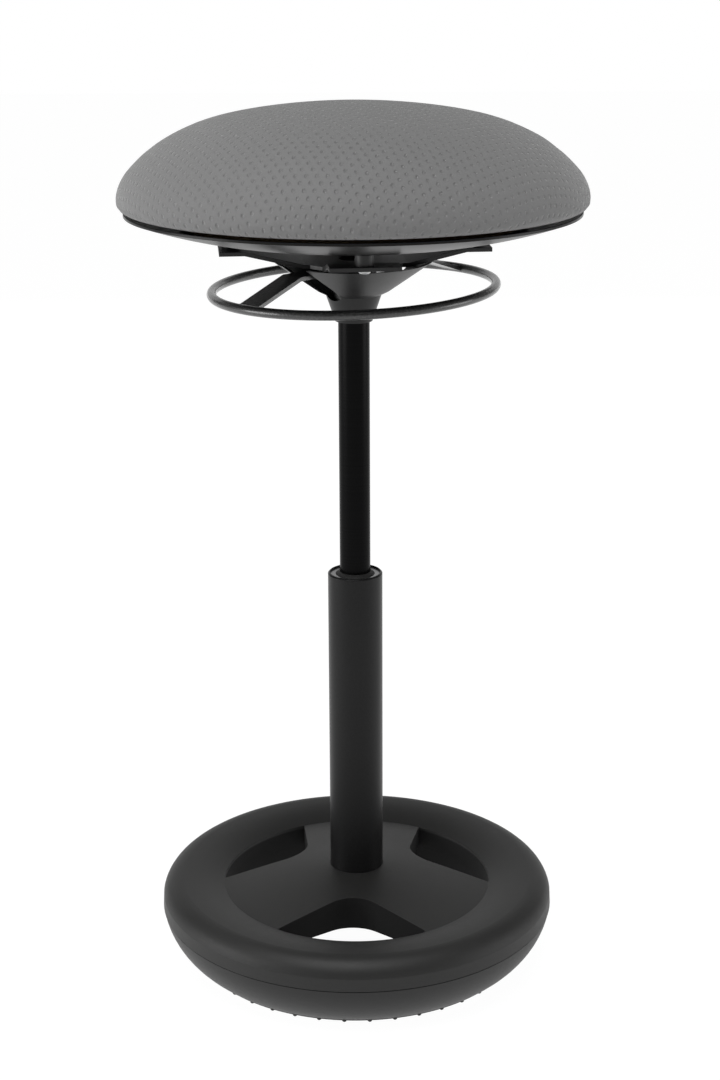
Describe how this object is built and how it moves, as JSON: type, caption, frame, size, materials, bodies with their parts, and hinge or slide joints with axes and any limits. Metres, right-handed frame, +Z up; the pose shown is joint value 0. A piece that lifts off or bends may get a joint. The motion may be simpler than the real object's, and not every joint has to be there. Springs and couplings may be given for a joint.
{
  "type": "wobble stool",
  "caption": "Height-adjustable perch stool with a weighted rounded ring foot, gas-lift column, ring-shaped release lever and domed fabric seat.",
  "frame": {"origin": "on the floor, at the middle of the ring foot, under the column's axis", "axes": "+Z up along the column; -Y towards the front of the seat; +X to the sitter's left as seen from the front, to the right in the picture"},
  "size_m": [0.4106, 0.3818, 0.8033],
  "materials": {
    "base_plastic": "fine moulded grain, matt",
    "black_rubber": "matt",
    "cast_iron": "rough cast",
    "black_steel": "satin powder coat",
    "zinc_steel": "zinc plated",
    "lift_black": "semi-gloss black",
    "bush_plastic": "smooth",
    "chromed_rod": "polished",
    "valve_brass": "turned",
    "lever_coat": "hammered black powder coat",
    "funnel_plastic": "satin",
    "pan_plastic": "satin gloss",
    "plywood": "bare",
    "foam": "open-cell foam",
    "grey_knit": "knitted fabric with staggered dimples"
  },
  "bodies": {
    "base": {"upper_shell": "base_plastic", "lower_shell": "base_plastic", "tread_ring": "black_rubber", "weight_ring": "cast_iron", "base_spider": "black_steel", "column_flange": "black_steel", "flange_screws": "zinc_steel", "weight_screws": "zinc_steel", "shell_screws_left": "zinc_steel", "shell_screws_right": "zinc_steel", "outer_column": "black_steel", "guide_bush": "bush_plastic", "wiper_ring": "black_rubber", "end_plate": "zinc_steel", "lower_race": "zinc_steel", "bearing_balls": "zinc_steel", "ball_cage": "bush_plastic"},
    "rod": {"upper_race": "zinc_steel", "piston_rod": "chromed_rod", "rod_clip": "zinc_steel", "damper_ring": "black_rubber", "piston": "bush_plastic", "piston_seal": "black_rubber"},
    "lift": {"rod_guide": "bush_plastic", "rod_seal": "black_rubber", "pressure_tube": "zinc_steel", "valve_body": "valve_brass", "piston_tube": "lift_black", "taper_socket": "black_steel", "seat_bracket": "black_steel", "funnel_cover": "funnel_plastic", "seat_pan": "pan_plastic", "seat_board": "plywood", "seat_foam": "foam", "seat_cover": "grey_knit", "seat_spacers": "zinc_steel", "tee_nuts": "zinc_steel", "seat_bolts": "zinc_steel", "pan_screws": "zinc_steel"},
    "button": {"release_button": "zinc_steel"},
    "lever": {"release_ring": "lever_coat", "release_bar": "lever_coat"}
  },
  "joints": [
    {"name": "seat_swivel", "type": "hinge", "parent": "base", "child": "rod", "pos_m": [0, 0, 0.0663], "axis": [0, 0, 1], "continuous": true},
    {"name": "height", "type": "slide", "parent": "rod", "child": "lift", "axis": [0, 0, 1], "range_m": [-0.2, 0]},
    {"name": "lever_tilt", "type": "hinge", "parent": "lift", "child": "lever", "pos_m": [-0.03716, -0.03346, 0.6653], "axis": [-0.6691, 0.7431, 0], "range_deg": [0, 4], "stiffness_Nm_per_rad": 2.5, "springref_deg": -11.46},
    {"name": "button_press", "type": "slide", "parent": "lift", "child": "button", "axis": [0, 0, -1], "range_m": [0, 0.0036]}
  ],
  "couplings": [
    {"joint": "button_press", "follows": "lever_tilt", "m_per_rad": 0.05}
  ]
}
